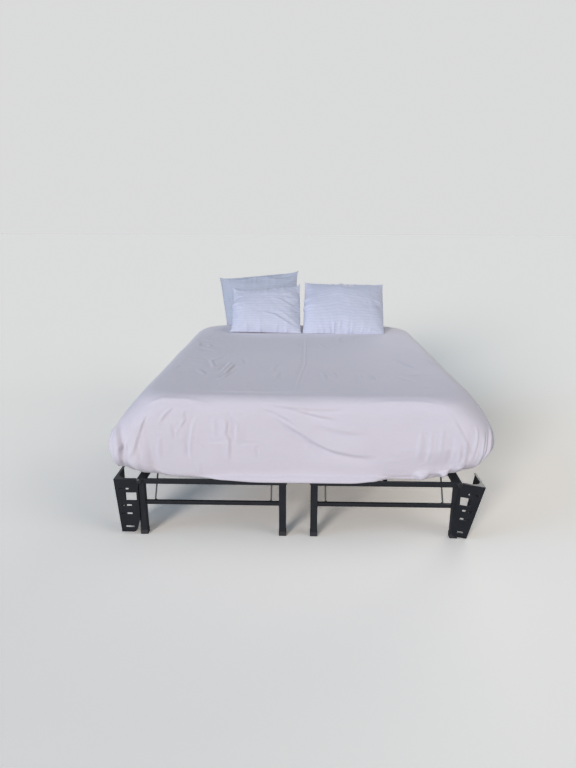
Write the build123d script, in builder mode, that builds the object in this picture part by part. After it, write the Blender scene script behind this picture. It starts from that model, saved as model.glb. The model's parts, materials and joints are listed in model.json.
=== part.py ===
"""A folding platform bed: two steel half frames side by side, four headboard brackets,
a mattress and three pillows. Millimetres. The origin is on the floor under the bed's
centre, +Y runs towards the head, +Z is up, and left and right are as seen from the foot."""
from build123d import *
from math import atan2, cos, degrees, hypot, radians, sin, sqrt
import os

os.makedirs("parts", exist_ok=True)

# Driving dimensions of the deck
frame_length = 2030      # foot rail's front face to head rail's back face
unit_width = 762         # one half frame, rail face to rail face
unit_gap = 124           # between the two half frames
rail_top = 317           # height of the deck
rail_width = 38          # side rails
end_rail_depth = 14      # foot and head rails
rail_height = 26
rail_bevel = 2           # softened edges of the rolled rails
fold_gap = 4             # between the foot deck and the head deck
fold_rail_depth = 25     # cross rail beside the fold
wire_diameter = 6
wire_sides = 8           # the wires are drawn with few faces, because there are many
wire_pitch = 78
first_wire = 108         # from the end of the frame to the first wire
spine_size = 18          # lengthwise tube under the wires
weld_bite = 1            # overlap of two pieces at a weld

# Driving dimensions of the leg frames
leg_size = 36            # square tube
leg_wall = 2
leg_edge = 2.5           # softened edges of the tube
leg_setback = 5          # leg's face behind the rail's face
leg_stop_gap = 0.5       # leg's top to the rail above it, at rest
pivot_inset = 52         # pivot from the end of the frame
pivot_drop = 7           # pivot below the rail's underside
pivot_pin_diameter = 8
pin_clearance = 0.1      # radial, in every eye that turns on a pin
lug_width = 20
lug_wall = 2.4           # metal round the lug's eye
lug_depth = 22           # how far the lug runs down the leg
ear_thickness = 2.5
ear_width = 26
ear_rise = 18            # overlap of an ear on the rail's side
ear_drop = 13            # ear below the pivot
ear_corner = 8           # cut lower corners of an ear
crossbar_size = 20
crossbar_edge = 2
crossbar_height = 179    # centre of the crossbar above the floor
cap_wall = 1.5
cap_height = 25
cap_floor = 3
cap_fit = 0.1            # cap's inside to the tube

# Driving dimensions of the braces
brace_diameter = 8       # across the flats of its eight sides
brace_sides = 8
brace_offset = 42        # brace's centre from the leg's inner face
brace_pivot_reach = 9    # brace's pivot behind the crossbar's face
brace_pin_diameter = 5
brace_tab_thickness = 3
brace_tab_gap = 1.0      # between the tab and the brace's eye
brace_pin_head = 2.5     # pin beyond the brace's eye
brace_eye_width = 8
brace_eye_diameter = 12
brace_top_inset = 125    # upper pin from the end of the frame
brace_top_drop = 17      # upper pin below the deck's top
brace_end_gap = 1        # upper pin's tip to the rail
slot_height = 10         # guide slot in the side rail
slot_depth = 2
slot_margin = 12         # slot beyond the pin's travel

# Driving dimensions of the headboard brackets
plate = 3
bracket_reach = 117      # outwards from the frame, at the top
bracket_foot_reach = 95  # outwards from the frame, at the bottom
bracket_bottom = 17      # height of its lower edge
bracket_toe = 18         # lower inner corner, outwards from the frame
bracket_toe_rise = 72    # the inner edge's slant, up from the lower edge
bracket_lap = 5          # inner edge, in front of the leg
bracket_depth = 166      # side plate, along the bed, at the top
bracket_foot_depth = 92  # and at the bottom
bracket_corner = 24      # rounded lower corner
tab_overlap = 34         # tab in front of the rail's end
flange_width = 12
flange_start = 2         # flange's inner end, outwards from the frame
flange_corner = 55       # inside radius of the top flange
bracket_slot_width = 10
bolt_inset = 12          # bolt's axis from the rail's outer end
bolt_drop = 12           # bolt's axis below the deck's top
bolt_diameter = 8
bolt_clearance = 0.2     # radial
bolt_hole_depth = 24
bolt_end_gap = 2         # shank's end to the bottom of its hole
bolt_head_diameter = 17
bolt_head_height = 5
loose_bracket_tilt = 9.5  # the right foot bracket has turned on its bolt, in degrees

# Driving dimensions of the mattress and the pillows
mattress_height = 438
corner_chords = 4        # straight chords that stand for a rounded corner
seat_gap = 0.3           # soft pieces above what they rest on

# The slots of a front plate: height above the floor, centre outwards from the frame, length
bracket_slots = [
    (264, 87, 24),
    (264, 54, 24),
    (171, 62, 60),
    (124, 62, 60),
    (48, 50, 44),
]
window_low, window_high = 200, 243      # square window between the slots, heights
window_inner, window_outer = 5, 68      # and its edges, outwards from the frame
# The slots of a side plate: height above the floor, centre behind the front plate, length
side_slots = [
    (264, 84, 50),
    (171, 66, 50),
    (124, 60, 50),
    (48, 48, 44),
]

# The mattress's outlines: height above the deck, overhang beyond the left side rail, the right
# side rail and the ends, corner radius. Its corners curl up, and its top slopes to the crest.
mattress_sections = [
    (0, -34, -34, -100, 240),
    (18, 76, 76, -16, 270),
    (53, 116, 116, -9, 220),
    (103, 148, 148, -3, 160),
    (153, 158, 158, -1, 130),
    (213, 144, 154, 0, 130),
    (273, 116, 138, -1, 140),
    (373, 36, 72, -8, 180),
    (413, -4, 32, -23, 190),
    (mattress_height, -89, -54, -95, 190),
]

# The pillows: name, centre x, centre's distance from the head, width, height, thickness,
# lean from upright
pillows = [
    ("right_pillow", 333, 250, 630, 450, 165, 44),
    ("left_front_pillow", -272, 285, 540, 425, 120, 40),
    ("left_back_pillow", -333, 93, 640, 445, 110, 12),
]
# A pillow's sections: place through the thickness, share of its width, share of its height
pillow_sections = [
    (-0.5, 0.55, 0.50),
    (-0.36, 0.84, 0.80),
    (0.0, 1.00, 1.00),
    (0.36, 0.84, 0.80),
    (0.5, 0.55, 0.50),
]
pillow_corner_share = 0.12  # cut corner, as a share of a section's height

# Values worked out from the dimensions above
half_length = frame_length / 2
half_gap = unit_gap / 2
unit_centre = half_gap + unit_width / 2
frame_side = half_gap + unit_width      # outer face of the frame
rail_bottom = rail_top - rail_height
half_deck = half_length - fold_gap / 2
leg_top = rail_bottom - leg_stop_gap
leg_centre_inset = leg_setback + leg_size / 2
leg_spread = unit_width / 2 - rail_width / 2          # leg's centre from the unit's centre
pivot_height = rail_bottom - pivot_drop
lug_radius = pivot_pin_diameter / 2 + lug_wall
brace_spread = leg_spread - leg_size / 2 - brace_offset
brace_pivot_inset = leg_centre_inset + crossbar_size / 2 + brace_pivot_reach
brace_top = rail_top - brace_top_drop
brace_length = hypot(brace_top_inset - brace_pivot_inset, brace_top - crossbar_height)
brace_angle = degrees(atan2(brace_top - crossbar_height, brace_top_inset - brace_pivot_inset))
# With the leg folded, the brace's lower pivot has turned a quarter turn about the leg's pivot
folded_pivot_inset = pivot_inset + (pivot_height - crossbar_height)
folded_pivot_height = pivot_height - (pivot_inset - brace_pivot_inset)
folded_rise = brace_top - folded_pivot_height
folded_top_inset = folded_pivot_inset + sqrt(brace_length ** 2 - folded_rise ** 2)
folded_angle = degrees(atan2(folded_rise, folded_top_inset - folded_pivot_inset))
brace_turn = brace_angle - folded_angle + 90          # brace against its leg, over the fold
print("leg pivots: inset", pivot_inset, "height", pivot_height)
print("brace pivots: inset", brace_pivot_inset, "height", crossbar_height)
print("brace turns", round(brace_turn, 3), "degrees over the fold, ratio", round(-brace_turn / 90, 5))

sides = [("left", -1), ("right", 1)]
# The leg frames: name, end of the deck that carries it, direction in which it folds
leg_frames = [
    ("foot", -half_length, 1),
    ("mid", -fold_gap / 2, -1),
    ("head", half_length, -1),
]


def save(piece, name):
    """Label a finished piece and write its file."""
    piece.label = name
    export_step(piece, "parts/" + name + ".step")


def stacked(sections):
    """A closed solid through a stack of flat outlines whose matching sides are parallel.
    Each outline is a list of points, and all have the same number of corners."""
    faces = [Face(Wire.make_polygon(sections[0])), Face(Wire.make_polygon(sections[-1]))]
    for below, above in zip(sections, sections[1:]):
        for corner in range(len(below)):
            side_face = [below[corner - 1], below[corner], above[corner], above[corner - 1]]
            faces.append(Face(Wire.make_polygon(side_face)))
    return Solid(Shell(faces))


# The decks: each is a welded frame of rails with a spine, and transverse wires on the spine
opening_width = unit_width - 2 * rail_width
opening_length = half_deck - end_rail_depth - fold_rail_depth
wire_count = int((half_deck - first_wire - fold_rail_depth - wire_pitch / 3) / wire_pitch) + 1
spine_top = rail_top - wire_diameter
for side_name, side in sides:
    for end_name, end in (("foot", -1), ("head", 1)):
        x_mid = side * unit_centre
        y_mid = end * (fold_gap / 2 + half_deck / 2)
        y_end = end * half_length
        y_opening = y_mid + end * (fold_rail_depth - end_rail_depth) / 2
        with BuildPart() as deck:
            with BuildSketch(Plane.XY.offset(rail_bottom)):
                with Locations((x_mid, y_mid)):
                    Rectangle(unit_width, half_deck)
                with Locations((x_mid, y_opening)):
                    Rectangle(opening_width, opening_length, mode=Mode.SUBTRACT)
            extrude(amount=rail_height)
            rims = deck.faces().filter_by(Axis.Z)
            chamfer([rim.outer_wire().edges() for rim in rims], rail_bevel)
            # Spine under the wires
            with BuildSketch(Plane.XY.offset(spine_top - spine_size)):
                with Locations((x_mid, y_opening)):
                    Rectangle(spine_size, opening_length + 2 * weld_bite)
            extrude(amount=spine_size)
            # Guide slots for the braces' upper pins, in the inner faces of the side rails
            for frame_name, frame_end, fold in leg_frames:
                if (frame_name == "head") != (end_name == "head"):
                    continue
                slot_start = brace_top_inset - slot_margin
                slot_end = folded_top_inset + slot_margin
                y_slot = frame_end + fold * (slot_start + slot_end) / 2
                for inward in (-1, 1):
                    face = x_mid + inward * opening_width / 2
                    with BuildSketch(Plane.YZ.offset(face)):
                        with Locations((y_slot, brace_top)):
                            SlotOverall(slot_end - slot_start, slot_height)
                    extrude(amount=inward * slot_depth, mode=Mode.SUBTRACT)
            # Bolt hole for the headboard bracket, at the outer corner
            bolt_x = side * (frame_side - bolt_inset)
            with BuildSketch(Plane.XZ.offset(-y_end)):
                with Locations((bolt_x, rail_top - bolt_drop)):
                    Circle(bolt_diameter / 2 + bolt_clearance)
            extrude(amount=end * bolt_hole_depth, mode=Mode.SUBTRACT)
        save(deck.part, side_name + "_" + end_name + "_deck")

        with BuildPart() as wires:
            for number in range(wire_count):
                y_wire = y_end - end * (first_wire + number * wire_pitch)
                with BuildSketch(Plane.YZ.offset(x_mid - opening_width / 2)):
                    with Locations((y_wire, rail_top - wire_diameter / 2)):
                        RegularPolygon(wire_diameter / 2, wire_sides, major_radius=False,
                                       rotation=180 / wire_sides)
                extrude(amount=opening_width)
        save(wires.part, side_name + "_" + end_name + "_wires")

# The fold hinges: strap leaves on the outer faces of the side rails, round a rivet
strap_length = 60
strap_height = 20
strap_corner = 5
strap_thickness = 3
rivet_diameter = 14
rivet_height = 3
for side_name, side in sides:
    with BuildPart() as hinges:
        for inward in (-1, 1):
            face = side * unit_centre + inward * unit_width / 2
            with BuildSketch(Plane.YZ.offset(face)):
                with Locations((0, (rail_top + rail_bottom) / 2)):
                    strap = Rectangle(strap_length, strap_height)
                chamfer(strap.vertices(), strap_corner)
            extrude(amount=inward * strap_thickness)
            with BuildSketch(Plane.YZ.offset(face + inward * strap_thickness)):
                with Locations((0, (rail_top + rail_bottom) / 2)):
                    Circle(rivet_diameter / 2)
            extrude(amount=inward * rivet_height)
    save(hinges.part, side_name + "_fold_hinges")

# The leg pivots: a pair of ears on each side rail with the pin between them
for side_name, side in sides:
    with BuildPart() as pivots:
        for frame_name, frame_end, fold in leg_frames:
            y_pivot = frame_end + fold * pivot_inset
            for inward in (-1, 1):
                rail_x = side * unit_centre + inward * leg_spread
                for cheek in (-1, 1):
                    ear_top = rail_bottom + ear_rise
                    ear_bottom = pivot_height - ear_drop
                    with BuildSketch(Plane.YZ.offset(rail_x + cheek * rail_width / 2)):
                        with Locations((y_pivot, (ear_top + ear_bottom) / 2)):
                            ear = Rectangle(ear_width, ear_top - ear_bottom)
                        chamfer(ear.vertices().group_by(Axis.Y)[0], ear_corner)
                    extrude(amount=cheek * ear_thickness)
                with BuildSketch(Plane.YZ.offset(rail_x - rail_width / 2)):
                    with Locations((y_pivot, pivot_height)):
                        Circle(pivot_pin_diameter / 2)
                extrude(amount=rail_width)
    save(pivots.part, side_name + "_leg_pivots")

# The leg frames: two tube legs with pivot lugs, a crossbar with tabs for the braces, foot caps
for side_name, side in sides:
    for frame_name, frame_end, fold in leg_frames:
        x_mid = side * unit_centre
        y_leg = frame_end + fold * leg_centre_inset
        y_pivot = frame_end + fold * pivot_inset
        y_brace = frame_end + fold * brace_pivot_inset
        y_top_pin = frame_end + fold * brace_top_inset
        name = side_name + "_" + frame_name

        with BuildPart() as legs:
            for inward in (-1, 1):
                x_leg = x_mid + inward * leg_spread
                with BuildSketch(Plane.XY.offset(cap_floor)):
                    with Locations((x_leg, y_leg)):
                        tube = Rectangle(leg_size, leg_size)
                        chamfer(tube.vertices(), leg_edge)
                        Rectangle(leg_size - 2 * leg_wall, leg_size - 2 * leg_wall,
                                  mode=Mode.SUBTRACT)
                extrude(amount=leg_top - cap_floor)
                leg_back = y_leg + fold * leg_size / 2
                with BuildSketch(Plane.YZ.offset(x_leg - lug_width / 2)):
                    with Locations((y_pivot, pivot_height)):
                        Circle(lug_radius)
                    with Locations(((leg_back - fold * leg_wall / 2 + y_pivot) / 2,
                                    pivot_height + lug_radius - lug_depth / 2)):
                        Rectangle(pivot_inset - leg_centre_inset - leg_size / 2 + leg_wall / 2,
                                  lug_depth)
                    with Locations((y_pivot, pivot_height)):
                        Circle(pivot_pin_diameter / 2 + pin_clearance, mode=Mode.SUBTRACT)
                extrude(amount=lug_width)
        save(legs.part, name + "_legs")

        with BuildPart() as crossbar:
            bar_length = 2 * leg_spread - leg_size
            with BuildSketch(Plane.YZ.offset(x_mid - bar_length / 2)):
                with Locations((y_leg, crossbar_height)):
                    bar = Rectangle(crossbar_size, crossbar_size)
                chamfer(bar.vertices(), crossbar_edge)
            extrude(amount=bar_length)
            for inward in (-1, 1):
                x_brace = x_mid + inward * brace_spread
                tab_face = x_brace - inward * (brace_eye_width / 2 + brace_tab_gap)
                bar_back = y_leg + fold * crossbar_size / 2
                tab_end = y_brace + fold * brace_eye_diameter / 2
                with BuildSketch(Plane.YZ.offset(tab_face)):
                    with Locations(((bar_back + tab_end) / 2, crossbar_height)):
                        Rectangle(abs(tab_end - bar_back), brace_eye_diameter)
                extrude(amount=-inward * brace_tab_thickness)
                with BuildSketch(Plane.YZ.offset(tab_face)):
                    with Locations((y_brace, crossbar_height)):
                        Circle(brace_pin_diameter / 2)
                extrude(amount=inward * (brace_tab_gap + brace_eye_width + brace_pin_head))
        save(crossbar.part, name + "_crossbar")

        with BuildPart() as caps:
            cap_inside = leg_size + 2 * cap_fit
            for inward in (-1, 1):
                x_leg = x_mid + inward * leg_spread
                with BuildSketch():
                    with Locations((x_leg, y_leg)):
                        cap = Rectangle(cap_inside + 2 * cap_wall, cap_inside + 2 * cap_wall)
                    chamfer(cap.vertices(), leg_edge)
                extrude(amount=cap_height)
                with BuildSketch(Plane.XY.offset(cap_floor)):
                    with Locations((x_leg, y_leg)):
                        Rectangle(cap_inside, cap_inside)
                extrude(amount=cap_height - cap_floor, mode=Mode.SUBTRACT)
        save(caps.part, name + "_caps")

        # The braces: an eye on the crossbar's pin, a rod, and a pin bent towards the rail
        with BuildPart() as braces:
            run = Vector(0, fold * (brace_top_inset - brace_pivot_inset), brace_top - crossbar_height)
            run = run.normalized()
            for inward in (-1, 1):
                x_brace = x_mid + inward * brace_spread
                tip_x = x_mid + inward * (unit_width / 2 - rail_width - brace_end_gap)
                low = Vector(x_brace, y_brace, crossbar_height)
                high = Vector(x_brace, y_top_pin, brace_top)
                start = low + run * (brace_eye_diameter / 2 - weld_bite)
                with BuildLine() as route:
                    Polyline(start, high, Vector(tip_x, y_top_pin, brace_top))
                with BuildSketch(Plane(origin=start, x_dir=(1, 0, 0), z_dir=run)):
                    RegularPolygon(brace_diameter / 2, brace_sides, major_radius=False,
                                   rotation=180 / brace_sides)
                sweep(path=route.line, transition=Transition.RIGHT)
                with BuildSketch(Plane.YZ.offset(x_brace - brace_eye_width / 2)):
                    with Locations((y_brace, crossbar_height)):
                        Circle(brace_eye_diameter / 2)
                extrude(amount=brace_eye_width)
                with BuildSketch(Plane.YZ.offset(x_brace - brace_eye_width / 2)):
                    with Locations((y_brace, crossbar_height)):
                        Circle(brace_pin_diameter / 2 + pin_clearance)
                extrude(amount=brace_eye_width, mode=Mode.SUBTRACT)
        save(braces.part, name + "_braces")

# The headboard brackets: a slotted front plate, a slotted side plate and a flange on top.
# The signs of side and end mirror one form to the four corners.
for end_name, end in (("foot", -1), ("head", 1)):
    for side_name, side in sides:
        y_face = end * half_length
        slope = (bracket_reach - bracket_foot_reach) / (rail_top - bracket_bottom)
        with BuildPart() as bracket:
            # Front plate, against the end rail's face
            with BuildSketch(Plane.XZ.offset(-y_face)):
                with BuildLine():
                    Polyline(
                        (side * (frame_side - tab_overlap), rail_top),
                        (side * (frame_side + bracket_reach), rail_top),
                        (side * (frame_side + bracket_foot_reach), bracket_bottom),
                        (side * (frame_side + bracket_toe), bracket_bottom),
                        (side * (frame_side - bracket_lap), bracket_bottom + bracket_toe_rise),
                        (side * (frame_side - bracket_lap), rail_bottom),
                        (side * (frame_side - tab_overlap), rail_bottom),
                        close=True,
                    )
                make_face()
            extrude(amount=-end * plate)
            # Side plate, leaning in a little towards its foot, with a slanted back edge
            with BuildSketch(Plane.XZ.offset(-y_face - end * plate)):
                with BuildLine():
                    Polyline(
                        (side * (frame_side + bracket_reach), rail_top),
                        (side * (frame_side + bracket_foot_reach), bracket_bottom),
                        (side * (frame_side + bracket_foot_reach - plate), bracket_bottom),
                        (side * (frame_side + bracket_reach - plate), rail_top),
                        close=True,
                    )
                make_face()
            extrude(amount=end * (bracket_depth + plate))
            with BuildSketch(Plane.YZ):
                with BuildLine():
                    Polyline(
                        (end * (half_length - bracket_depth), rail_top - plate),
                        (end * (half_length - bracket_foot_depth), bracket_bottom),
                        (end * (half_length - bracket_depth), bracket_bottom),
                        close=True,
                    )
                make_face()
            extrude(amount=side * (frame_side + bracket_reach), mode=Mode.SUBTRACT)
            # Flange round the top, with a rounded inner corner
            with BuildSketch(Plane.XY.offset(rail_top - plate)):
                with BuildLine():
                    outer_x = frame_side + bracket_reach - plate / 2
                    inner_x = frame_side + bracket_reach - flange_width
                    inner_y = half_length - flange_width
                    corner_x = inner_x - flange_corner
                    corner_y = inner_y - flange_corner
                    diagonal = flange_corner * cos(radians(45))
                    l1 = Polyline(
                        (side * corner_x, end * inner_y),
                        (side * (frame_side + flange_start), end * inner_y),
                        (side * (frame_side + flange_start), end * half_length),
                        (side * outer_x, end * half_length),
                        (side * outer_x, end * (half_length - bracket_depth)),
                        (side * inner_x, end * (half_length - bracket_depth)),
                        (side * inner_x, end * corner_y),
                    )
                    ThreePointArc(
                        l1 @ 1,
                        (side * (corner_x + diagonal), end * (corner_y + diagonal)),
                        l1 @ 0,
                    )
                make_face()
            extrude(amount=plate)
            # Rounded lower inner corner of the front plate
            low_corner = bracket.edges().filter_by(Axis.Y).filter_by(
                lambda e: abs(e.center().Z - bracket_bottom) < plate
                and abs(e.center().X) < frame_side + bracket_toe + plate)
            fillet(low_corner, bracket_corner)
            # Slots and window of the front plate, and the bolt's hole
            with BuildSketch(Plane.XZ.offset(-y_face - end * 2 * plate)):
                for height, reach, length in bracket_slots:
                    with Locations((side * (frame_side + reach), height)):
                        SlotOverall(length, bracket_slot_width)
                with Locations((side * (frame_side + (window_inner + window_outer) / 2),
                                (window_low + window_high) / 2)):
                    Rectangle(window_outer - window_inner, window_high - window_low)
                with Locations((side * (frame_side - bolt_inset), rail_top - bolt_drop)):
                    Circle(bolt_diameter / 2 + bolt_clearance)
            extrude(amount=end * 4 * plate, mode=Mode.SUBTRACT)
            # Slots of the side plate
            with BuildSketch(Plane.YZ.offset(side * (frame_side + bracket_foot_reach - 2 * plate))):
                for height, behind, length in side_slots:
                    with Locations((end * (half_length - behind), height)):
                        SlotOverall(length, bracket_slot_width)
            extrude(amount=side * (bracket_reach - bracket_foot_reach + 4 * plate), mode=Mode.SUBTRACT)
        piece = bracket.part
        if (side_name, end_name) == ("right", "foot"):
            bolt_axis = Axis((side * (frame_side - bolt_inset), y_face, rail_top - bolt_drop), (0, 1, 0))
            piece = piece.rotate(bolt_axis, loose_bracket_tilt)
        save(piece, side_name + "_" + end_name + "_bracket")

# The brackets' bolts: six-sided heads outside, shanks in the rails
with BuildPart() as bolts:
    for end in (-1, 1):
        for side in (-1, 1):
            bolt_x = side * (frame_side - bolt_inset)
            bolt_z = rail_top - bolt_drop
            y_face = end * (half_length + plate)
            with BuildSketch(Plane.XZ.offset(-y_face)):
                with Locations((bolt_x, bolt_z)):
                    Circle(bolt_diameter / 2)
            extrude(amount=end * (plate + bolt_hole_depth - bolt_end_gap))
            with BuildSketch(Plane.XZ.offset(-y_face)):
                with Locations((bolt_x, bolt_z)):
                    RegularPolygon(bolt_head_diameter / 2, 6)
            extrude(amount=-end * bolt_head_height)
save(bolts.part, "bracket_bolts")

# The mattress: a stack of rounded rectangles, a little fuller on the right
mattress_bottom = rail_top + seat_gap
mattress_top = rail_top + mattress_height
outlines = []
for height, over_left, over_right, over_end, radius in mattress_sections:
    outline = []
    for quarter, (x_side, y_side) in enumerate(((1, 1), (-1, 1), (-1, -1), (1, -1))):
        x_reach = frame_side + (over_right if x_side > 0 else over_left)
        for step in range(corner_chords + 1):
            turn = radians(90 * (quarter + step / corner_chords))
            outline.append((
                x_side * (x_reach - radius) + radius * cos(turn),
                y_side * (half_length + over_end - radius) + radius * sin(turn),
                max(rail_top + height, mattress_bottom),
            ))
    outlines.append(outline)
save(stacked(outlines), "mattress")

# The pillows: crowned slabs with cut corners that lean back on their lower edges
for name, x_mid, head_inset, width, height, thickness, lean in pillows:
    y_mid = half_length - head_inset
    tilt = radians(lean)
    reach = max(cos(tilt) * tall * height / 2 + sin(tilt) * abs(depth) * thickness
                for depth, wide, tall in pillow_sections)
    facing = Plane(origin=(x_mid, y_mid, mattress_top + seat_gap + reach), x_dir=(1, 0, 0),
                   z_dir=(0, -cos(tilt), sin(tilt)))
    outlines = []
    for depth, wide, tall in pillow_sections:
        half_wide = wide * width / 2
        half_tall = tall * height / 2
        cut = pillow_corner_share * tall * height
        outline = []
        for x_side, y_side in ((1, 1), (-1, 1), (-1, -1), (1, -1)):
            beside = (x_side * half_wide, y_side * (half_tall - cut), depth * thickness)
            above = (x_side * (half_wide - cut), y_side * half_tall, depth * thickness)
            outline += [beside, above] if x_side == y_side else [above, beside]
        outlines.append([facing.from_local_coords(point) for point in outline])
    save(stacked(outlines), name)
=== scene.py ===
"""The looks of a folding platform bed: a white fitted sheet over a thick mattress, three
pillows in striped cases, and a black powder-coated frame. Metres, in the frame's axes:
+X to the right as seen from the foot, +Y towards the head, +Z up."""
import json
import math

import bpy
import numpy as np
from mathutils import Matrix, Vector

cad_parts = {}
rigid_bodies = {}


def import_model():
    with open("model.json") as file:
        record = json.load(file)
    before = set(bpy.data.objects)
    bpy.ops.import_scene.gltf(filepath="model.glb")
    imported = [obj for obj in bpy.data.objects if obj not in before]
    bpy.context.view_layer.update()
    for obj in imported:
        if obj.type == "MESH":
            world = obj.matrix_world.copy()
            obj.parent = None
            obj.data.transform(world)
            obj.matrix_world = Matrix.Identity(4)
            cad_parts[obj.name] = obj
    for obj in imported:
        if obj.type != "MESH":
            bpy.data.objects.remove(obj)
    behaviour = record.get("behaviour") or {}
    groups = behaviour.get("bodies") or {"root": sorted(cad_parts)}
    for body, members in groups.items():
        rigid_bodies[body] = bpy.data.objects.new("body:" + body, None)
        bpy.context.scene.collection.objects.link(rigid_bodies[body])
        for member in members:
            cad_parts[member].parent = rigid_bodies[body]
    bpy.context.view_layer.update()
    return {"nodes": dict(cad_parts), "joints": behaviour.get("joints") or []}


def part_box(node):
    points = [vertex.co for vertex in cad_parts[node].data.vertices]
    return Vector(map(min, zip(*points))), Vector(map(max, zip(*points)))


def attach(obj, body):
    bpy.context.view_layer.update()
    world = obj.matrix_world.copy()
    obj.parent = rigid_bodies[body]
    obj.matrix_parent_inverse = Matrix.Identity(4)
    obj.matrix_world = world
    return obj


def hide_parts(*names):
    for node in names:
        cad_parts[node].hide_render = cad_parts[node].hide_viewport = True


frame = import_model()
nodes = frame["nodes"]
sides = ("left", "right")
frame_names = ("foot", "mid", "head")

# The photograph's camera
camera_place = (0.0056, -3.5797, 1.5804)
camera_yaw = math.radians(1.322)        # turned to the left
camera_pitch = math.radians(16.352)     # tilted down
camera_roll = math.radians(-0.115)
focal_pixels = 557.8
photo_height = 768
sensor = 36


def add_object(name, data):
    made = bpy.data.objects.new(name, data)
    bpy.context.scene.collection.objects.link(made)
    return made


def make_camera():
    data = bpy.data.cameras.new("camera")
    data.sensor_width = sensor
    data.lens = focal_pixels * sensor / photo_height
    camera = add_object("camera", data)
    place = Matrix.Translation(camera_place)
    for angle, axis in ((camera_yaw, "Z"), (math.pi / 2 - camera_pitch, "X"), (-camera_roll, "Z")):
        place = place @ Matrix.Rotation(angle, 4, axis)
    camera.matrix_world = place
    bpy.context.scene.camera = camera


make_camera()


# Small helpers for numbers and noise
def smooth(low, high, value):
    """0 below low, 1 above high and an S curve between them. low may be the larger."""
    t = np.clip((value - low) / (high - low), 0, 1)
    return t * t * (3 - 2 * t)


def smooth_curve(values, slopes, index, t, step=1):
    """Places on the smooth curve through values, the share t of a step past each index."""
    return ((1 + 2 * t) * (1 - t) ** 2 * values[index] + t * (1 - t) ** 2 * step * slopes[index]
            + t * t * (3 - 2 * t) * values[index + 1] + t * t * (t - 1) * step * slopes[index + 1])


def ridge(distance, width, spread):
    """A rounded ridge with a shallow groove on both sides, which is wider by that spread."""
    return np.exp(-(distance / width) ** 2) - 0.4 * np.exp(-(distance / (spread * width)) ** 2)


hash_primes = (73856093, 19349663, 83492791)
hash_size = 65536        # a power of two


def noise(points, scale, seed):
    """Smooth value noise from -1 to 1, with lumps of about that scale in metres."""
    table = np.random.default_rng(seed).uniform(-1, 1, hash_size)
    cell = np.floor(points / scale).astype(np.int64)
    part = points / scale - cell
    part = part * part * (3 - 2 * part)
    total = np.zeros(len(points))
    for corner in np.ndindex(*(2,) * points.shape[1]):
        key = np.zeros(len(points), np.int64)
        weight = np.ones(len(points))
        for axis, (step, prime) in enumerate(zip(corner, hash_primes)):
            key ^= (cell[:, axis] + step) * prime
            weight *= part[:, axis] if step else 1 - part[:, axis]
        total += weight * table[key & (hash_size - 1)]
    return total


# Small helpers for meshes
def grid_faces(index, closed=(False, False), flipped=False):
    """Faces over a grid of vertex numbers. A closed axis joins its last row to its first."""
    for axis in (0, 1):
        if closed[axis]:
            index = np.concatenate([index, index.take([0], axis)], axis)
    faces = np.stack([index[:-1, :-1], index[1:, :-1], index[1:, 1:], index[:-1, 1:]], -1)
    faces = faces.reshape(-1, 4)
    return faces[:, (0, 3, 2, 1)] if flipped else faces


def grid_rim(grid):
    """The values round the edge of a grid, each once."""
    return np.concatenate([grid[:-1, 0], grid[-1, :-1], grid[:0:-1, -1], grid[0, :0:-1]])


def new_piece(name, points, faces, material, body="root", uvs=None):
    """A mesh piece that rides on a body. uvs holds one pair for each face corner."""
    mesh = bpy.data.meshes.new(name)
    mesh.from_pydata([tuple(p) for p in points], [], [[int(v) for v in face] for face in faces])
    mesh.validate()
    mesh.update()
    mesh.polygons.foreach_set("use_smooth", [True] * len(mesh.polygons))
    if uvs is not None:
        layer = mesh.uv_layers.new(name="flat")
        layer.data.foreach_set("uv", np.asarray(uvs, float).ravel())
    mesh.materials.append(material)
    piece = add_object(name, mesh)
    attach(piece, body)
    return piece


def read_vectors(mesh, name="co"):
    """One vector for each vertex: its place, or its normal."""
    vectors = np.zeros(len(mesh.vertices) * 3)
    mesh.vertices.foreach_get(name, vectors)
    return vectors.reshape(-1, 3)


def write_points(mesh, points):
    mesh.vertices.foreach_set("co", points.ravel())
    mesh.update()


# Small helpers for materials
def start_material(name, **values):
    """A material whose shader has these socket values, then its node tree and that shader."""
    material = bpy.data.materials.new(name)
    material.use_nodes = True
    tree = material.node_tree
    shader = tree.nodes["Principled BSDF"]
    for socket, value in values.items():
        shader.inputs[socket.replace("_", " ")].default_value = value
    return material, tree, shader


def add_node(tree, kind, source=None, **values):
    """A node with these settings. source is a socket that feeds its first vector input."""
    made = tree.nodes.new(kind)
    for name, value in values.items():
        if name in made.inputs:
            made.inputs[name].default_value = value
        else:
            setattr(made, name, value)
    if source is not None:
        tree.links.new(source, made.inputs["Vector"])
    return made


def feed(tree, node, **sources):
    """Links these sockets to the node's inputs of the same names."""
    for name, source in sources.items():
        tree.links.new(source, node.inputs[name.replace("_", " ")])


def object_place(tree):
    return add_node(tree, "ShaderNodeTexCoord").outputs["Object"]


def clouds(tree, place, scale, detail, roughness=0.5, distortion=0.0):
    """Soft noise from 0 to 1."""
    return add_node(tree, "ShaderNodeTexNoise", place, Scale=scale, Detail=detail,
                    Roughness=roughness, Distortion=distortion).outputs["Fac"]


def ranged(tree, value, start=0.0, end=1.0, low=0.0, high=1.0, curve="LINEAR"):
    """The value brought from the range of start to end into the range of low to high."""
    made = add_node(tree, "ShaderNodeMapRange", interpolation_type=curve)
    for name, number in (("From Min", start), ("From Max", end), ("To Min", low), ("To Max", high)):
        made.inputs[name].default_value = number
    feed(tree, made, Value=value)
    return made.outputs["Result"]


def math_node(tree, operation, first, second=0.5):
    made = add_node(tree, "ShaderNodeMath", operation=operation)
    for socket, value in zip(made.inputs, (first, second)):
        if isinstance(value, (int, float)):
            socket.default_value = value
        else:
            tree.links.new(value, socket)
    return made.outputs[0]


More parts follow.
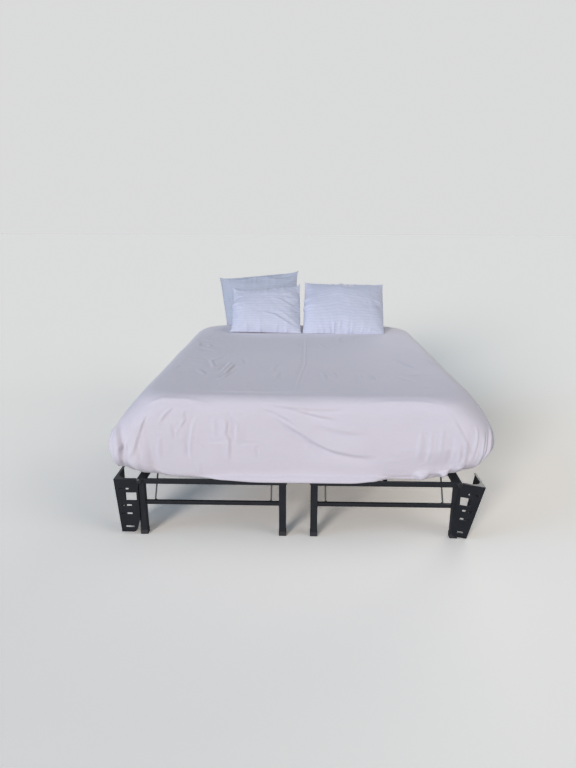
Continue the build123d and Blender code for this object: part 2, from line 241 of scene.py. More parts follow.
def mix_colours(tree, factor, first, second):
    made = add_node(tree, "ShaderNodeMix", data_type="RGBA")
    feed(tree, made, Factor=factor)
    for name, value in (("A", first), ("B", second)):
        socket = [s for s in made.inputs if s.name == name and s.type == "RGBA"][0]
        if isinstance(value, tuple):
            socket.default_value = (*value, 1)
        else:
            tree.links.new(value, socket)
    return [s for s in made.outputs if s.type == "RGBA"][0]


def bump_chain(tree, shader, *steps):
    """Bumps one after another. Each step is a height socket and a depth in metres."""
    normal = None
    for height, depth in steps:
        bump = add_node(tree, "ShaderNodeBump", Strength=1, Distance=depth)
        feed(tree, bump, Height=height)
        if normal:
            feed(tree, bump, Normal=normal)
        normal = bump.outputs["Normal"]
    feed(tree, shader, Normal=normal)


def mix_shaders(tree, factor, first, second, output):
    """Puts the second shader in the first one's place where the factor is 1."""
    mix = tree.nodes.new("ShaderNodeMixShader")
    for socket, source in zip(mix.inputs, (factor, first, second)):
        tree.links.new(source, socket)
    feed(tree, tree.nodes[output], Surface=mix.outputs[0])


# Materials: each function returns a finished node material
thread_pitch = 0.0005
stripe_pitch = 0.021


def cotton(name, colour, shade, striped=False):
    """White woven cotton. Striped, it has satin stripes, as on a pillowcase."""
    material, tree, shader = start_material(
        name, Roughness=0.82, Sheen_Weight=0.25, Sheen_Roughness=0.45, Specular_IOR_Level=0.3)
    flat = add_node(tree, "ShaderNodeUVMap", uv_map="flat").outputs[0]
    split = tree.nodes.new("ShaderNodeSeparateXYZ")
    tree.links.new(flat, split.inputs[0])
    threads = [math_node(tree, "SINE", math_node(tree, "MULTIPLY", way, math.pi / thread_pitch))
               for way in split.outputs[:2]]
    weave = math_node(tree, "MULTIPLY", *threads)
    slub = clouds(tree, flat, 900.0, 2.0)
    creases = clouds(tree, flat, 26.0, 4.0, 0.55, 0.6)
    tone = mix_colours(tree, clouds(tree, flat, 5.0, 2.0), colour, shade)
    steps = [(creases, 0.0022), (slub, 0.00006), (weave, 0.00009)]
    if striped:
        turn = math_node(tree, "MULTIPLY", split.outputs[1], 2 * math.pi / stripe_pitch)
        stripe = ranged(tree, math_node(tree, "SINE", turn), 0.45, 0.8, curve="SMOOTHSTEP")
        tone = mix_colours(tree, stripe, tone, tuple(0.955 * c for c in shade))
        feed(tree, shader, Roughness=ranged(tree, stripe, low=0.62, high=0.85))
        steps.append((stripe, -0.00008))
    feed(tree, shader, Base_Color=tone)
    bump_chain(tree, shader, *steps)
    return material


def ticking(name):
    """The plain grey-white cloth of the mattress itself, seen from below."""
    material, tree, shader = start_material(name, Roughness=0.9, Sheen_Weight=0.15)
    place = object_place(tree)
    knit = add_node(tree, "ShaderNodeTexVoronoi", place, Scale=600.0).outputs["Distance"]
    mottle = clouds(tree, place, 9.0, 3.0)
    feed(tree, shader, Base_Color=mix_colours(tree, mottle, (0.5, 0.49, 0.48), (0.62, 0.61, 0.6)))
    bump_chain(tree, shader, (mottle, 0.002), (knit, 0.0004))
    return material


def coated_metal(name, colour, worn_edge_and_highlight, roughness, wear_and_highlight=0.35):
    """Powder-coated steel: a fine orange peel, dust in patches, and bright edges that are partly wear
    and partly a painted highlight.
    """
    material, tree, shader = start_material(name, Specular_IOR_Level=0.24)
    place = object_place(tree)
    peel = clouds(tree, place, 900.0, 2.0)
    dust = clouds(tree, place, 14.0, 6.0, 0.65)
    scuffs = clouds(tree, place, 90.0, 5.0, 0.7)
    facing = add_node(tree, "ShaderNodeVectorMath", operation="DOT_PRODUCT")
    rounded = add_node(tree, "ShaderNodeBevel", samples=4, Radius=0.0022)
    true_normal = add_node(tree, "ShaderNodeNewGeometry").outputs["Normal"]
    for socket, source in zip(facing.inputs, (rounded.outputs[0], true_normal)):
        tree.links.new(source, socket)
    # The edge mask brightens the edges: partly rubbed wear, partly a painted highlight
    edge = ranged(tree, facing.outputs["Value"], 0.99, 0.85)
    rubbed_and_highlit = math_node(tree, "MULTIPLY", edge, ranged(tree, scuffs, 0.5, 0.68))
    rubbed_and_highlit = math_node(tree, "MULTIPLY", rubbed_and_highlit, wear_and_highlight)
    pale = tuple(min(1, 1.7 * c + 0.005) for c in colour)
    tone = mix_colours(tree, rubbed_and_highlit, mix_colours(tree, dust, colour, pale), worn_edge_and_highlight)
    rough = ranged(tree, dust, low=roughness - 0.08, high=roughness + 0.14)
    feed(tree, shader, Base_Color=tone, Roughness=rough)
    bump_chain(tree, shader, (dust, 0.0003), (peel, 0.00012))
    return material


def zinc(name):
    """Dulled zinc plate with a soft bluish and yellowish play and fine turning marks."""
    material, tree, shader = start_material(name, Metallic=1.0)
    place = object_place(tree)
    play = clouds(tree, place, 120.0, 3.0)
    marks = add_node(tree, "ShaderNodeTexWave", place, Scale=220.0, Distortion=2.0,
                     wave_type="RINGS").outputs["Fac"]
    tone = mix_colours(tree, play, (0.07, 0.072, 0.076), (0.12, 0.117, 0.107))
    feed(tree, shader, Base_Color=tone, Roughness=ranged(tree, play, low=0.22, high=0.4))
    bump_chain(tree, shader, (marks, 0.00004))
    return material


def moulded_plastic(name, colour):
    """Matte moulded plastic with a fine spark-eroded grain and scuffed dust."""
    material, tree, shader = start_material(name, Specular_IOR_Level=0.4)
    place = object_place(tree)
    grain = add_node(tree, "ShaderNodeTexVoronoi", place, Scale=1400.0).outputs["Distance"]
    dust = clouds(tree, place, 60.0, 5.0)
    tone = mix_colours(tree, dust, colour, tuple(2.2 * c + 0.01 for c in colour))
    feed(tree, shader, Base_Color=tone, Roughness=ranged(tree, dust, low=0.5, high=0.8))
    bump_chain(tree, shader, (grain, 0.00015))
    return material


sheet_cotton = cotton("sheet_cotton", (0.71, 0.675, 0.725), (0.68, 0.65, 0.705))
hem_cotton = cotton("hem_cotton", (0.71, 0.685, 0.73), (0.68, 0.655, 0.71))
case_cotton = cotton("pillowcase_cotton", (0.60, 0.625, 0.73), (0.57, 0.605, 0.72), striped=True)
# The back pillow's case is the same striped cotton, made darker as painted shade
shaded_case_cotton = cotton("shaded_case_cotton", (0.45, 0.49, 0.58), (0.42, 0.47, 0.56), striped=True)
mattress_ticking = ticking("mattress_ticking")
# The third colour is the edges' brightening, partly wear and partly painted highlight
frame_black = coated_metal("frame_black", (0.012, 0.0135, 0.016), (0.22, 0.22, 0.22), 0.40)
bracket_black = coated_metal("bracket_black", (0.010, 0.0115, 0.014), (0.30, 0.30, 0.30), 0.34, 0.6)
brace_steel = coated_metal("brace_steel", (0.10, 0.10, 0.10), (0.50, 0.49, 0.47), 0.3, 0.7)
bolt_zinc = zinc("bolt_zinc")
cap_plastic = moulded_plastic("cap_plastic", (0.016, 0.016, 0.018))


# The fitted sheet. Its outline at each height, from the crest down the sides and under:
# height, half width on the left, half width on the right, half length, corner radius
sheet_levels = [
    (0.7555, 0.735, 0.770, 0.920, 0.19),
    (0.7500, 0.780, 0.815, 0.962, 0.19),
    (0.7300, 0.820, 0.856, 0.992, 0.19),
    (0.6900, 0.860, 0.896, 1.007, 0.18),
    (0.6400, 0.905, 0.935, 1.012, 0.16),
    (0.5900, 0.940, 0.962, 1.014, 0.14),
    (0.5300, 0.968, 0.978, 1.015, 0.13),
    (0.4700, 0.982, 0.982, 1.014, 0.13),
    (0.4200, 0.972, 0.972, 1.012, 0.16),
    (0.3700, 0.940, 0.940, 1.006, 0.22),
    (0.3350, 0.900, 0.900, 0.999, 0.27),
    (0.3190, 0.865, 0.865, 0.985, 0.29),
    (0.3185, 0.790, 0.790, 0.915, 0.24),
]
sheet_columns = 290      # across the top
sheet_rows = 118         # along the top
side_rows = 78           # from the crest to the hem
foot_row_share = 0.50    # the spacing of the rows at the foot, as a share of the even one
cloth_gap = 0.0006       # how far the cloth stays above the CAD mattress's underside


def rounded_place(across, along, half_width, half_length, corner, straight_x, straight_y):
    """Maps a square of -1 to 1 each way onto a rectangle with round corners."""
    s = np.clip((np.abs(across) - straight_x) / (1 - straight_x), 0, 1)
    t = np.clip((np.abs(along) - straight_y) / (1 - straight_y), 0, 1)
    flat_x = np.minimum(np.abs(across) / straight_x, 1) * (half_width - corner)
    flat_y = np.minimum(np.abs(along) / straight_y, 1) * (half_length - corner)
    x = flat_x + corner * s * np.sqrt(1 - t * t / 2)
    y = flat_y + corner * t * np.sqrt(1 - s * s / 2)
    return np.sign(across) * x, np.sign(along) * y


def spread_levels(count):
    """Rows evenly spaced along a smooth curve through the sheet's levels."""
    table = np.array(sheet_levels)
    middle = (table[:, 1] + table[:, 2]) / 2
    way = np.concatenate([[0], np.cumsum(np.hypot(np.diff(table[:, 0]), np.diff(middle)))])
    fine = np.linspace(0, way[-1], 2000)
    index = np.clip(np.searchsorted(way, fine, "right") - 1, 0, len(way) - 2)
    step = (way[index + 1] - way[index])[:, None]
    t = (fine - way[index])[:, None] / step
    curve = smooth_curve(table, np.gradient(table, way, axis=0), index, t, step)
    rows = np.linspace(0, way[-1], count)
    return rows, np.stack([np.interp(rows, fine, column) for column in curve.T], 1)


def sheet_row(level, across, along):
    """The smooth sheet's points at one level, from places of -1 to 1 each way."""
    height, left, right, half_length, corner = level
    crest_corner = sheet_levels[0][4]
    straight_x = 1 - crest_corner / sheet_levels[0][1]
    straight_y = 1 - crest_corner / sheet_levels[0][3]
    x, y = rounded_place(across, along, np.where(across < 0, left, right), half_length, corner,
                         straight_x, straight_y)
    return np.stack([x, y, np.full(len(x), height)], 1)


def side_flats(edge, way):
    """Flat coordinates of the side faces. The side panels hang from the four edges of the top,
    so that the seams are at the corners."""
    outward = np.repeat([(0, -1), (1, 0), (0, 1), (-1, 0)], [sheet_columns, sheet_rows] * 2, axis=0)
    down = outward[:, None] * way[:, None]
    here = edge[:, None] + down
    after = np.roll(edge, -1, 0)[:, None] + down
    return np.stack([here[:, :-1], here[:, 1:], after[:, 1:], after[:, :-1]], 2).reshape(-1, 2)


def sheet_grid():
    """Points, faces and flat coordinates of the smooth sheet, a top grid with side rows. Then
    how far round the open edge each side point is, with -1 for the top, and the whole way."""
    even = np.linspace(0, 1, sheet_rows + 1)
    along = 2 * (foot_row_share * even + (1 - foot_row_share) * even ** 2) - 1
    grid_x, grid_y = np.meshgrid(np.linspace(-1, 1, sheet_columns + 1), along, indexing="ij")
    way, levels = spread_levels(side_rows + 1)
    top = sheet_row(levels[0], grid_x.ravel(), grid_y.ravel())
    rows = [sheet_row(level, grid_rim(grid_x), grid_rim(grid_y)) for level in levels[1:]]
    top_index = np.arange(len(top)).reshape(grid_x.shape)
    rim = grid_rim(top_index)
    side_index = len(top) + np.arange(side_rows * len(rim)).reshape(side_rows, -1)
    top_faces = grid_faces(top_index)
    side_faces = grid_faces(np.concatenate([rim[None], side_index]).T, (True, False), flipped=True)
    uvs = np.concatenate([top[top_faces.ravel(), :2], side_flats(top[rim, :2], way)])
    edge = rows[-1][:, :2]
    steps = np.linalg.norm(np.roll(edge, -1, 0) - edge, axis=1)
    round_way = np.concatenate([[0], np.cumsum(steps)])
    station = np.concatenate([np.full(len(top), -1.0), np.tile(round_way[:-1], side_rows)])
    return (np.concatenate([top, *rows]), np.concatenate([top_faces, side_faces]), uvs,
            station, round_way[-1])


def rolled_out(points):
    """How far across each point lies, with the corners rolled out flat, and its height."""
    x, y, height = points.T
    table = np.array(sheet_levels[::-1])
    end = np.interp(height, table[:, 0], table[:, 3])
    return np.stack([x + np.sign(x) * np.clip(end - np.abs(y), 0, 1), height], 1)


# How a crease is measured on each face of the sheet, and where that face is
sheet_faces = {
    "top": (lambda p: p[:, :2], lambda p: smooth(0.725, 0.745, p[:, 2])),
    "foot": (rolled_out, lambda p: smooth(-0.70, -0.82, p[:, 1])),
    "head": (rolled_out, lambda p: smooth(0.70, 0.82, p[:, 1])),
    "left": (lambda p: p[:, 1:], lambda p: smooth(-0.80, -0.87, p[:, 0])),
    "right": (lambda p: p[:, 1:], lambda p: smooth(0.80, 0.87, p[:, 0])),
}


def crease(flat, line, width, height, one_sided=0.0):
    """How far a crease along that line lifts each flat point. Its ends fade out, and a
    one-sided crease is a fold whose other side lies lower."""
    line = np.array(line, float)
    lengths = np.linalg.norm(np.diff(line, axis=0), axis=1)
    done = np.concatenate([[0], np.cumsum(lengths)]) / lengths.sum()
    near = np.full(len(flat), 1e9)
    side = np.zeros(len(flat))
    share = np.zeros(len(flat))
    for k in range(len(line) - 1):
        run = line[k + 1] - line[k]
        t = np.clip((flat - line[k]) @ run / (run @ run), 0, 1)
        away = flat - line[k] - t[:, None] * run
        distance = np.linalg.norm(away, axis=1)
        closer = distance < near
        near[closer] = distance[closer]
        side[closer] = np.sign(run[0] * away[:, 1] - run[1] * away[:, 0])[closer]
        share[closer] = (done[k] + t * (done[k + 1] - done[k]))[closer]
    fade = smooth(0, 0.3, np.minimum(share, 1 - share))
    step = side * (1 - np.exp(-(near / width) ** 2)) * np.exp(-(near / (4 * width)) ** 2)
    return height * fade * (ridge(near, width, 2.4) + one_sided * step)


def face_crease(points, face, *shape):
    """A crease on one face of the sheet."""
    flatten, mask = sheet_faces[face]
    return crease(flatten(points), *shape) * mask(points)


# The creases that the photograph shows: line, width, height, how one-sided. A negative height
# is a groove. First those on the foot side, across and up
foot_creases = [
    # The long swag and the pulls above it
    ([(-0.15, 0.685), (-0.054, 0.622), (-0.004, 0.589), (0.087, 0.531), (0.17, 0.488), (0.284, 0.464),
      (0.42, 0.456)], 0.014, 0.0085, 0.85),
    ([(-0.021, 0.578), (0.029, 0.538), (0.129, 0.501), (0.22, 0.485)], 0.009, 0.004, 0.4),
    ([(-0.208, 0.712), (-0.117, 0.685), (-0.044, 0.644), (0.01, 0.6)], 0.007, 0.005, 0.6),
    ([(-0.22, 0.728), (-0.152, 0.724), (-0.038, 0.702), (0.101, 0.666), (0.2, 0.65)],
      0.007, 0.006, 0.7),
    ([(-0.12, 0.735), (-0.045, 0.712), (0.039, 0.7), (0.151, 0.698), (0.25, 0.708)],
      0.006, 0.0045, 0.6),
    ([(0.05, 0.64), (0.18, 0.6), (0.34, 0.58)], 0.016, 0.004, 0.4),
    # The edge of the top
    ([(-0.8, 0.69), (-0.737, 0.72), (-0.677, 0.735), (-0.545, 0.734), (-0.459, 0.719), (-0.36, 0.716)],
      0.007, 0.005, 0.3),
    ([(0.3, 0.722), (0.45, 0.733), (0.62, 0.73), (0.74, 0.712)], 0.008, 0.004, 0.3),
    # Upright folds on the left
    ([(-0.745, 0.69), (-0.75, 0.665), (-0.764, 0.62), (-0.789, 0.549), (-0.813, 0.479), (-0.87, 0.38)],
      0.006, -0.006, 0.5),
    ([(-0.791, 0.61), (-0.799, 0.54)], 0.007, -0.003, 0),
    ([(-0.69, 0.62), (-0.659, 0.668), (-0.615, 0.708)], 0.008, 0.004, 0.2),
    ([(-0.632, 0.63), (-0.619, 0.582), (-0.608, 0.53)], 0.006, -0.004, 0.2),
    ([(-0.6, 0.6), (-0.607, 0.54)], 0.006, 0.003, 0),
    ([(-0.573, 0.69), (-0.565, 0.638), (-0.59, 0.595)], 0.007, 0.004, -0.3),
    ([(-0.497, 0.675), (-0.524, 0.605), (-0.531, 0.562), (-0.541, 0.517), (-0.538, 0.41)],
      0.007, 0.005, 0.4),
    ([(-0.513, 0.563), (-0.495, 0.528), (-0.47, 0.49)], 0.007, 0.004, 0.2),
    ([(-0.555, 0.52), (-0.56, 0.44)], 0.007, -0.003, 0),
    ([(-0.365, 0.675), (-0.347, 0.625), (-0.353, 0.572), (-0.335, 0.538), (-0.339, 0.41)],
      0.006, -0.006, 0.4),
    ([(-0.34, 0.68), (-0.303, 0.621), (-0.31, 0.5)], 0.006, 0.006, 0.5),
    ([(-0.46, 0.534), (-0.34, 0.525)], 0.006, -0.0025, 0.2),
    ([(-0.3, 0.521), (-0.19, 0.519)], 0.006, -0.0025, 0.2),
    ([(-0.205, 0.515), (-0.206, 0.43)], 0.006, -0.003, 0),
    ([(-0.502, 0.42), (-0.498, 0.34)], 0.008, 0.0035, 0),
    ([(-0.42, 0.66), (-0.41, 0.55)], 0.01, 0.003, 0),
    ([(-0.69, 0.56), (-0.7, 0.43)], 0.009, 0.003, 0),
    # Upright folds on the right
    ([(0.6, 0.6), (0.595, 0.43)], 0.012, 0.0035, 0),
    ([(0.65, 0.61), (0.648, 0.5), (0.64, 0.4)], 0.008, 0.005, 0.3),
    ([(0.705, 0.62), (0.7, 0.44)], 0.008, 0.004, 0),
    ([(0.765, 0.51), (0.764, 0.4)], 0.007, 0.005, 0.3),
    ([(0.796, 0.54), (0.795, 0.415)], 0.007, 0.0055, 0),
    ([(0.821, 0.56), (0.831, 0.42)], 0.007, 0.005, 0.3),
    ([(0.877, 0.63), (0.875, 0.55), (0.862, 0.44)], 0.007, 0.0055, 0.2),
    ([(0.74, 0.69), (0.79, 0.61), (0.85, 0.5), (0.89, 0.39)], 0.006, -0.0045, 0.3),
    # Gathers at the two corners, which run together at the hem
    ([(-0.99, 0.64), (-0.965, 0.589), (-0.915, 0.54), (-0.89, 0.49), (-0.91, 0.416), (-0.95, 0.345)],
      0.009, -0.019, 0.3),
    ([(-1.04, 0.59), (-1.03, 0.538), (-1, 0.47), (-0.98, 0.405), (-0.962, 0.345)], 0.011, 0.016, 0.3),
    ([(-0.89, 0.65), (-0.876, 0.634), (-0.846, 0.603), (-0.885, 0.56)], 0.007, -0.006, 0),
    ([(-0.86, 0.54), (-0.865, 0.46), (-0.92, 0.365)], 0.01, 0.008, 0.2),
    ([(-1.11, 0.62), (-1.09, 0.52), (-1.04, 0.42), (-0.99, 0.345)], 0.01, -0.009, 0),
    ([(-1.17, 0.59), (-1.14, 0.48), (-1.08, 0.4), (-1.02, 0.345)], 0.011, 0.008, 0.2),
    ([(-1.23, 0.58), (-1.19, 0.45), (-1.12, 0.36)], 0.01, -0.006, 0),
    ([(1.08, 0.61), (1.066, 0.577), (1.036, 0.52), (1.01, 0.46), (0.965, 0.37)], 0.009, -0.011, 0.2),
    ([(1.03, 0.62), (0.995, 0.54), (0.965, 0.46), (0.945, 0.37)], 0.01, 0.009, 0.2),
    ([(1.13, 0.62), (1.11, 0.54), (1.06, 0.44), (0.99, 0.36)], 0.01, 0.009, 0),
    ([(0.96, 0.6), (0.925, 0.5), (0.92, 0.4)], 0.008, -0.006, 0),
    ([(1.18, 0.6), (1.15, 0.48), (1.06, 0.37)], 0.01, -0.007, 0),
]
# Those on the top, across and along
top_creases = [
    ([(0.06, 0.5), (0.042, 0.368), (0.036, 0.02), (0.033, -0.336), (-0.014, -0.818), (-0.029, -1)],
      0.006, 0.003, 0.2),
    ([(-0.67, 0.09), (-0.604, 0.04), (-0.545, 0.005)], 0.012, 0.005, 0.4),
    ([(-0.73, 0.4), (-0.66, 0.34), (-0.6, 0.3)], 0.013, 0.0045, 0.4),
    ([(-0.64, 0.2), (-0.6, 0.11)], 0.012, 0.004, 0),
    ([(-0.415, -0.3), (-0.425, -0.4), (-0.442, -0.54)], 0.011, 0.0055, 0.4),
    ([(-0.392, -0.35), (-0.402, -0.44), (-0.422, -0.59)], 0.01, 0.005, -0.3),
    ([(-0.37, -0.45), (-0.388, -0.54), (-0.416, -0.65), (-0.455, -0.7)], 0.01, 0.005, 0.3),
    ([(-0.55, -0.24), (-0.525, -0.34), (-0.495, -0.45)], 0.011, 0.0045, 0.3),
    ([(-0.59, -0.48), (-0.52, -0.6)], 0.013, 0.0035, 0),
    ([(0.128, -0.54), (0.137, -0.62), (0.143, -0.7)], 0.01, 0.0045, 0.2),
    ([(0.18, -0.52), (0.205, -0.64)], 0.011, 0.004, 0),
    ([(0.345, -0.54), (0.332, -0.68), (0.32, -0.83)], 0.01, 0.0045, 0.3),
    ([(0.385, -0.56), (0.405, -0.7)], 0.011, 0.004, 0),
    ([(0.59, -0.18), (0.63, -0.3), (0.69, -0.44)], 0.012, 0.0045, 0.3),
    ([(0.78, -0.16), (0.805, -0.28), (0.82, -0.38)], 0.012, 0.004, 0.2),
    ([(-0.65, -0.9), (-0.2, -0.915), (0.3, -0.905)], 0.013, 0.003, 0.3),
]
# The face that they are on, how much stronger they are made, and the creases
seen_creases = [("foot", 1.6, foot_creases), ("top", 1.5, top_creases)]
# Where the lower edge at the foot bulges out or draws in: across, and by how much
foot_edge_swell = [
    (-0.98, 0.010), (-0.93, 0.015), (-0.86, 0.021), (-0.79, 0.006), (-0.726, -0.006), (-0.60, 0.0),
    (0.42, 0.0), (0.60, -0.013), (0.716, -0.024), (0.80, -0.010), (0.88, -0.004), (0.95, -0.011),
]
# Bits of the hem that stick out below that edge: across, half width, how far
hem_tabs = [(0.622, 0.030, 0.022), (0.735, 0.022, 0.024)]
hem_height = 0.320       # where the sheet has turned in under the mattress


def elastic_puckers(points, station, around, draw):
    """Puckers that the elastic draws up from the hem. They are faint across the two ends."""
    x, y, height = points.T
    at_ends = smooth(0.90, 0.97, np.abs(y)) * smooth(0.80, 0.60, np.abs(x))
    lift = np.zeros(len(points))
    place = 0.0
    while place < around:
        place += draw(0.022, 0.060)
        width = draw(0.006, 0.011)
        reach = draw(0.36, 0.46)
        slant = draw(-0.25, 0.25)
        high = draw(0.0015, 0.004)
        across = (station - place - slant * (height - hem_height) + around / 2) % around - around / 2
        near = (station >= 0) & (np.abs(across) < 4 * width)
        fall = smooth(reach, hem_height + 0.005, height[near]) * (1 - 0.8 * at_ends[near])
        lift[near] += high * fall * ridge(across[near], width, 2.2)
    return lift


corner_gather_height = 0.0062
corner_gather_turn = 17  # radians of their wave for each radian round the corner


def corner_gathers(points, station):
    """Deeper and longer gathers at the four corners, which fan out from inside each corner."""
    x, y, height = points.T
    fall = smooth(0.64, 0.40, height) * smooth(1.62, 1.86, np.abs(x) / 0.97 + np.abs(y) / 1.02)
    lift = np.zeros(len(points))
    for x_sign in (-1, 1):
        for y_sign in (-1, 1):
            here = (station >= 0) & (x * x_sign > 0.6) & (y * y_sign > 0.6)
            angle = np.arctan2(y[here] * y_sign - 0.70, x[here] * x_sign - 0.65)
            wander = noise(points[here] * (1, 1, 0.35), 0.11, 5 + x_sign + 2 * y_sign)
            phase = corner_gather_turn * angle + 3 * wander
            folds = np.sin(phase) + 0.5 * np.sin(2.3 * phase + 1) + 0.2 * np.sin(5.3 * phase + 2)
            lift[here] = corner_gather_height * folds * fall[here]
    return lift


def seen_folds(points):
    """The creases of the photograph. The head gets the foot's folds near its corners, the
    other way round."""
    lift = np.zeros(len(points))
    for face, gain, creases in seen_creases:
        for line, width, high, one_sided in creases:
            lift += face_crease(points, face, line, width, gain * high, one_sided)
            if face == "foot" and min(abs(x) for x, _ in line) > 0.45:
                turned_line = [(-x, z) for x, z in line]
                lift += face_crease(points, "head", turned_line, width, gain * high, -one_sided)
    return lift


def faint_pulls(points, draw):
    """Faint upright pulls and swags on the other sides, and light creases all over the top."""
    lift = np.zeros(len(points))
    for face, half, count in (("head", 0.42, 4), ("left", 0.85, 12), ("right", 0.85, 12)):
        for _ in range(count):
            place = draw(-half, half)
            top, bottom = draw(0.60, 0.70), draw(0.38, 0.48)
            lean = draw(-0.05, 0.05)
            line = [(place, top), (place + lean / 2, (top + bottom) / 2), (place + lean, bottom)]
            lift += face_crease(points, face, line, draw(0.010, 0.015), draw(0.004, 0.007),
                                draw(-0.3, 0.3))
    for _ in range(5):
        for face in ("left", "right"):
            start, low = draw(-0.7, 0.3), draw(0.50, 0.66)
            line = [(start, low + 0.06), (start + 0.2, low), (start + 0.45, low - 0.03)]
            lift += face_crease(points, face, line, draw(0.012, 0.018), 0.005, 0.5)
    for _ in range(34):
        x, y = draw(-0.75, 0.75), draw(-0.85, 0.75)
        angle, length = draw(0, math.pi), draw(0.10, 0.28)
        run_x, run_y = math.cos(angle) * length / 2, math.sin(angle) * length / 2
        line = [(x - run_x, y - run_y), (x, y + 0.01), (x + run_x, y + run_y)]
        lift += face_crease(points, "top", line, draw(0.010, 0.018), 0.0028, 0.3)
    return lift


def foot_edge(points):
    """The bulges of the lower edge at the foot, and the bits of hem below it."""
    x, y, height = points.T
    lift = np.interp(x, *np.array(foot_edge_swell).T) * smooth(0.50, 0.39, height)
    for place, half, high in hem_tabs:
        lift += high * np.exp(-((x - place) / half) ** 4) * smooth(0.372, 0.350, height)
    return lift * smooth(-0.74, -0.84, y)


def sheet_relief(points, station, around):
    """How far the sheet stands off its smooth form: soft lumps, pulls and creases."""
    height = points[:, 2]
    draw = np.random.default_rng(11).uniform
    lift = 0.0025 * noise(points, 0.34, 1) + 0.0016 * noise(points, 0.15, 2)
    lift += 0.0035 * noise(points * (1, 1, 0.5), 0.26, 3) * smooth(0.73, 0.60, height)
    lift += elastic_puckers(points, station, around, draw) + corner_gathers(points, station)
    lift += seen_folds(points) + faint_pulls(points, draw) + foot_edge(points)
    return lift * (1 - 0.9 * smooth(hem_height + 0.010, hem_height, height))


def lean_right(points):
    """The sheet as the photograph shows it: its upper part sits a little to the right."""
    x, y, height = points.T
    far = y + 1
    shift = 0.0145 - 0.00275 * far - 0.010 * far * x
    upper = np.where(x < 0, smooth(0.48, 0.62, height), smooth(0.36, 0.42, height))
    points[:, 0] += shift * upper


# The lip of the sheet over the front of the foot rails: row from the lowest, y and height
lip_rows = [(-4, -1.0185, 0.3340), (-3, -1.0205, 0.3255), (-2, -1.0215, 0.3180),
            (-1, -1.0210, 0.3115), (0, -1.0190, 0.3075), (1, -1.0168, 0.3100), (2, -1.0166, 0.3188)]


def hang_lip(points, top_count, rim_count, lowest_row):
    """Lets the middle of the lower edge hang in front of the foot rails."""
    for row, y, height in lip_rows:
        index = top_count + (lowest_row + row) * rim_count + np.arange(sheet_columns + 1)
        x = points[index, 0]
        share = smooth(-0.60, -0.12, x) * smooth(0.50, 0.22, x)
        forward, down = smooth(0, 0.45, share), smooth(0.35, 1, share)
        points[index, 1] += (y - points[index, 1]) * forward
        points[index, 2] += (height - points[index, 2]) * down


def make_sheet():
    """The sheet, and the ring of points along its open edge."""
    points, faces, uvs, station, around = sheet_grid()
    lean_right(points)
    sheet = new_piece("fitted_sheet", points, faces, sheet_cotton, "root", uvs)
    lift = sheet_relief(points, station, around)
    placed = read_vectors(sheet.data) + read_vectors(sheet.data, "normal") * lift[:, None]
    placed[:, 2] = np.maximum(placed[:, 2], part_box("mattress")[0].z + cloth_gap)
    top_count = (sheet_columns + 1) * (sheet_rows + 1)
    rim_count = 2 * (sheet_columns + sheet_rows)
    row_heights = points[top_count::rim_count, 2]
    hang_lip(placed, top_count, rim_count, int(np.argmax(row_heights < hem_height + 0.0005)))
    write_points(sheet.data, placed)
    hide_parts("mattress")
    return sheet, placed[-rim_count:]


hem_half_width, hem_half_thickness = 0.0075, 0.0016
hem_sides = 8


def make_hem(ring):
    """The rolled hem with its elastic, round the sheet's open edge under the mattress."""
    up = np.array([0, 0, 1.0])
    ahead = np.roll(ring, -1, 0) - np.roll(ring, 1, 0)
    inward = np.cross(up, ahead / np.linalg.norm(ahead, axis=1)[:, None])
    puckers = 1 + 0.3 * noise(ring[:, :2], 0.011, 31)
    centre = ring.copy()
    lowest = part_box("mattress")[0].z + cloth_gap + 1.35 * hem_half_thickness
    centre[:, 2] = np.maximum(centre[:, 2], lowest)
    angle = 2 * math.pi * np.arange(hem_sides) / hem_sides
    across = hem_half_width * np.cos(angle)
    rise = hem_half_thickness * puckers[:, None] * np.sin(angle)
    points = centre[:, None] + inward[:, None] * across[:, None] + rise[..., None] * up
    points = points.reshape(-1, 3)
    index = np.arange(len(points)).reshape(-1, hem_sides)
    faces = grid_faces(index, (True, True), flipped=True)
    return new_piece("sheet_hem", points, faces, hem_cotton, "root",
                     points[faces.ravel(), :2])


core_height = 0.045
core_half_width, core_half_length, core_corner = 0.86, 0.955, 0.25
core_points = 110        # along each side
core_gap = 0.0012        # how far the quilt stays above the CAD mattress's underside
quilt_pitch, quilt_depth = 0.17, 0.004


def make_core():
    """The mattress's quilted underside, which shows inside the sheet's open underside."""
    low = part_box("mattress")[0].z
    x, y = np.meshgrid(*[np.linspace(-1, 1, core_points)] * 2, indexing="ij")
    x, y = rounded_place(x.ravel(), y.ravel(), core_half_width, core_half_length, core_corner, 0.7, 0.74)
    quilt = np.minimum(np.abs(np.sin((x + y) * math.pi / quilt_pitch)),
                       np.abs(np.sin((x - y) * math.pi / quilt_pitch)))
    lower = low + core_gap + quilt_depth * (1 - quilt ** 0.5)
    upper = np.full(len(x), low + core_height)
    points = np.concatenate([np.stack([x, y, z], 1) for z in (lower, upper)])
    index = np.arange(len(x)).reshape(core_points, -1)
    rim = grid_rim(index)
    faces = np.concatenate([grid_faces(index, flipped=True), grid_faces(index + len(x)),
                            grid_faces(np.stack([rim, rim + len(x)], 1), (True, False))])
    return new_piece("mattress_core", points, faces, mattress_ticking, "root")


sheet, sheet_ring = make_sheet()
hem = make_hem(sheet_ring)
make_core()

# The pillows: CAD node, cut width and height, how far the cut edges bow out, fill, thickness,
# lean in degrees, seed
pillow_table = [
    ("right_pillow", 0.675, 0.5, 0.006, 0.01, 5, 0.185, 44, 21),
    ("left_front_pillow", 0.585, 0.465, 0.006, 0.01, 4, 0.14, 40, 22),
    ("left_back_pillow", 0.665, 0.48, 0.004, 0.006, 2.6, 0.115, 12, 23),
]
